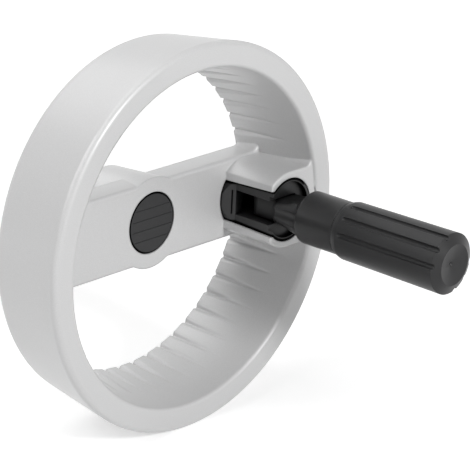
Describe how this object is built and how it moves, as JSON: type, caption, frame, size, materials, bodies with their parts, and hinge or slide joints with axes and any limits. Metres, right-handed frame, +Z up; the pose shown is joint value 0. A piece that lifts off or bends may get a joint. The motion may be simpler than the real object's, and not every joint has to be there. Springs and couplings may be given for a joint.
{
  "type": "two-spoke handwheel with fold-away handle",
  "caption": "Spoked aluminium handwheel with notched finger grips, keyed shaft bore and a revolving handle that folds flat into the wheel.",
  "frame": {"origin": "centre of the shaft bore on the back face of the hub", "axes": "+Y along the shaft away from the operator, +X along the spoke towards the handle, +Z up"},
  "size_m": [0.1601, 0.1384, 0.1602],
  "materials": {
    "cast_silver": "fine satin silver coating",
    "black_plastic": "matt black",
    "steel": "bright turned"
  },
  "bodies": {
    "wheel": {"wheel_body": "cast_silver", "hub_cap": "black_plastic", "pivot_housing": "black_plastic", "housing_screw_upper": "steel", "housing_screw_lower": "steel", "pivot_pin": "steel"},
    "handle_arm": {"handle_neck": "black_plastic", "friction_washer_upper": "steel", "friction_washer_lower": "steel", "grip_spindle": "steel", "thrust_washer": "steel", "snap_ring": "steel"},
    "grip": {"grip_sleeve": "black_plastic"}
  },
  "joints": [
    {"name": "handle_fold", "type": "hinge", "parent": "wheel", "child": "handle_arm", "pos_m": [0.054, -0.0405, 0], "axis": [0, 0, -1], "range_deg": [0, 90]},
    {"name": "grip_spin", "type": "hinge", "parent": "handle_arm", "child": "grip", "pos_m": [0.054, -0.11, 0], "axis": [0, -1, 0], "continuous": true}
  ]
}
